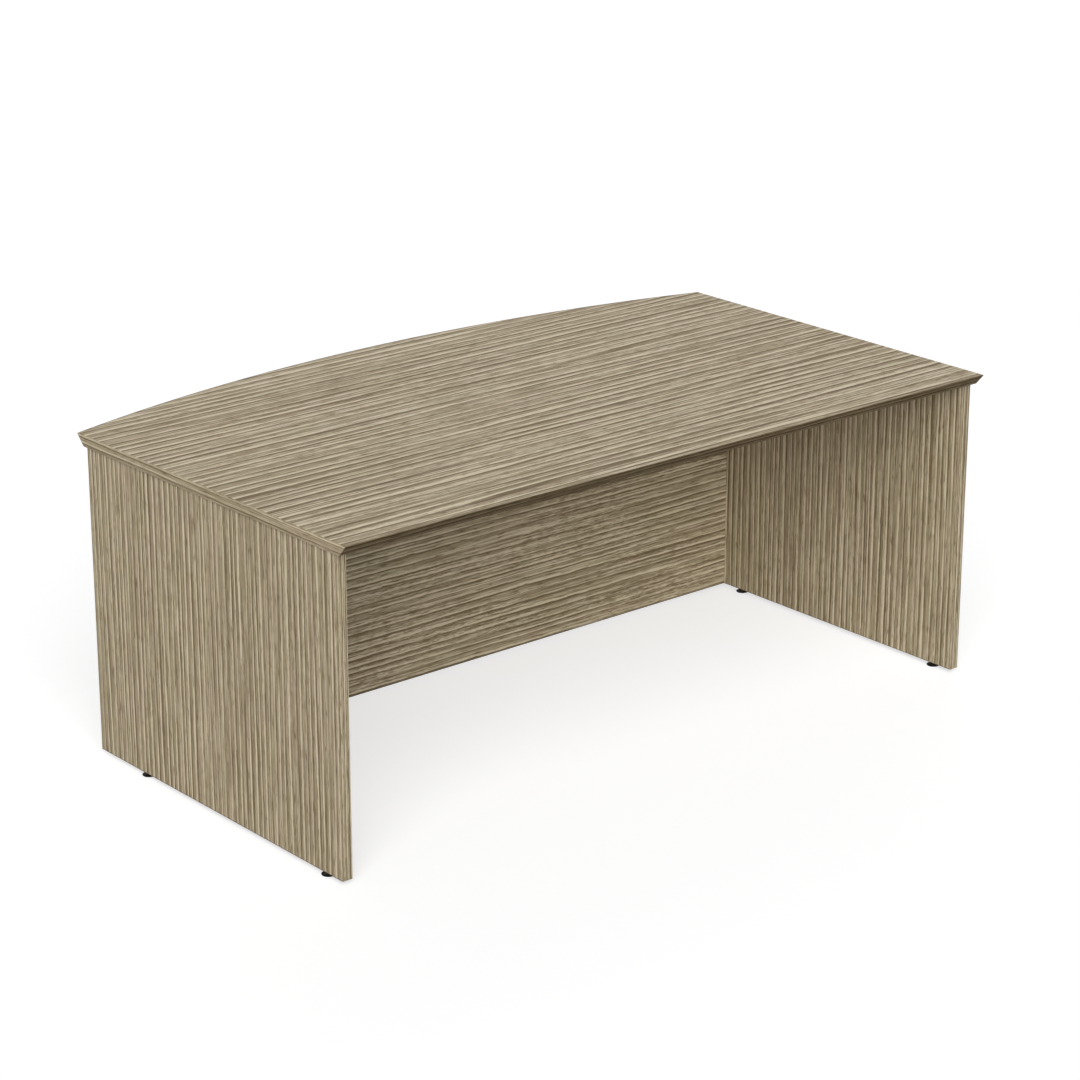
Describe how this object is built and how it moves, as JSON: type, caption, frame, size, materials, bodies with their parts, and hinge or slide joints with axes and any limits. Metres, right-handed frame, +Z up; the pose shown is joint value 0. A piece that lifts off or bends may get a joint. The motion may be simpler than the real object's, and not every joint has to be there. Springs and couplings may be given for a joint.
{
  "type": "bow-top desk",
  "caption": "Desk with a straight user edge and a bowed visitor edge, on solid end panels tied by a full-height modesty panel, with screw-adjusted levelling feet.",
  "frame": {"origin": "on the floor under the middle of the desk's own box, at rest with the feet screwed fully in", "axes": "+X along the desk's width to the seated user's right, +Y from the user towards the visitor's bowed edge, +Z up"},
  "size_m": [1.8, 1.0797, 0.73],
  "materials": {
    "laminate": "satin driftwood laminate on particleboard, linear grain",
    "edge_band": "satin printed edge band that matches the laminate",
    "zinc": "die-cast zinc",
    "plated_steel": "zinc-plated steel",
    "cap_plastic": "satin moulded plastic in the laminate's tone",
    "beech": "raw fluted beech",
    "black_nylon": "moulded black nylon, satin"
  },
  "bodies": {
    "desk": {"worktop_board": "laminate", "end_panel_left": "laminate", "end_panel_right": "laminate", "modesty_panel": "laminate", "worktop_band_front": "edge_band", "worktop_band_rear": "edge_band", "worktop_band_left": "edge_band", "worktop_band_right": "edge_band", "end_panel_left_band_front": "edge_band", "end_panel_left_band_rear": "edge_band", "end_panel_left_band_bottom": "edge_band", "end_panel_right_band_front": "edge_band", "end_panel_right_band_rear": "edge_band", "end_panel_right_band_bottom": "edge_band", "modesty_panel_band_bottom": "edge_band", "cam_top_left": "zinc", "cam_top_right": "zinc", "cam_modesty_left_lower": "zinc", "cam_modesty_left_upper": "zinc", "cam_modesty_right_lower": "zinc", "cam_modesty_right_upper": "zinc", "cam_modesty_top_left": "zinc", "cam_modesty_top_right": "zinc", "bolt_top_left": "plated_steel", "bolt_top_right": "plated_steel", "bolt_modesty_left_lower": "plated_steel", "bolt_modesty_left_upper": "plated_steel", "bolt_modesty_right_lower": "plated_steel", "bolt_modesty_right_upper": "plated_steel", "bolt_modesty_top_left": "plated_steel", "bolt_modesty_top_right": "plated_steel", "cap_top_left": "cap_plastic", "cap_top_right": "cap_plastic", "cap_modesty_left_lower": "cap_plastic", "cap_modesty_left_upper": "cap_plastic", "cap_modesty_right_lower": "cap_plastic", "cap_modesty_right_upper": "cap_plastic", "cap_modesty_top_left": "cap_plastic", "cap_modesty_top_right": "cap_plastic", "dowel_top_left_1": "beech", "dowel_top_left_2": "beech", "dowel_top_left_3": "beech", "dowel_top_right_1": "beech", "dowel_top_right_2": "beech", "dowel_top_right_3": "beech", "dowel_modesty_left_1": "beech", "dowel_modesty_right_1": "beech", "insert_left_front": "plated_steel", "insert_left_rear": "plated_steel", "insert_right_front": "plated_steel", "insert_right_rear": "plated_steel"},
    "foot_left_front": {"pad_left_front": "black_nylon"},
    "foot_left_rear": {"pad_left_rear": "black_nylon"},
    "foot_right_front": {"pad_right_front": "black_nylon"},
    "foot_right_rear": {"pad_right_rear": "black_nylon"},
    "screw_left_front": {"stud_left_front": "plated_steel"},
    "screw_left_rear": {"stud_left_rear": "plated_steel"},
    "screw_right_front": {"stud_right_front": "plated_steel"},
    "screw_right_rear": {"stud_right_rear": "plated_steel"}
  },
  "joints": [
    {"name": "foot_left_front_travel", "type": "slide", "parent": "desk", "child": "foot_left_front", "axis": [0, 0, -1], "range_m": [0, 0.015]},
    {"name": "foot_left_front_screw", "type": "hinge", "parent": "foot_left_front", "child": "screw_left_front", "pos_m": [-0.884, -0.439, 0], "axis": [0, 0, -1], "range_deg": [0, 4320]},
    {"name": "foot_left_rear_travel", "type": "slide", "parent": "desk", "child": "foot_left_rear", "axis": [0, 0, -1], "range_m": [0, 0.015]},
    {"name": "foot_left_rear_screw", "type": "hinge", "parent": "foot_left_rear", "child": "screw_left_rear", "pos_m": [-0.884, 0.211, 0], "axis": [0, 0, -1], "range_deg": [0, 4320]},
    {"name": "foot_right_front_travel", "type": "slide", "parent": "desk", "child": "foot_right_front", "axis": [0, 0, -1], "range_m": [0, 0.015]},
    {"name": "foot_right_front_screw", "type": "hinge", "parent": "foot_right_front", "child": "screw_right_front", "pos_m": [0.884, -0.439, 0], "axis": [0, 0, -1], "range_deg": [0, 4320]},
    {"name": "foot_right_rear_travel", "type": "slide", "parent": "desk", "child": "foot_right_rear", "axis": [0, 0, -1], "range_m": [0, 0.015]},
    {"name": "foot_right_rear_screw", "type": "hinge", "parent": "foot_right_rear", "child": "screw_right_rear", "pos_m": [0.884, 0.211, 0], "axis": [0, 0, -1], "range_deg": [0, 4320]}
  ],
  "couplings": [
    {"joint": "foot_left_front_travel", "follows": "foot_left_front_screw", "m_per_rad": 0.00019894},
    {"joint": "foot_left_rear_travel", "follows": "foot_left_rear_screw", "m_per_rad": 0.00019894},
    {"joint": "foot_right_front_travel", "follows": "foot_right_front_screw", "m_per_rad": 0.00019894},
    {"joint": "foot_right_rear_travel", "follows": "foot_right_rear_screw", "m_per_rad": 0.00019894}
  ]
}
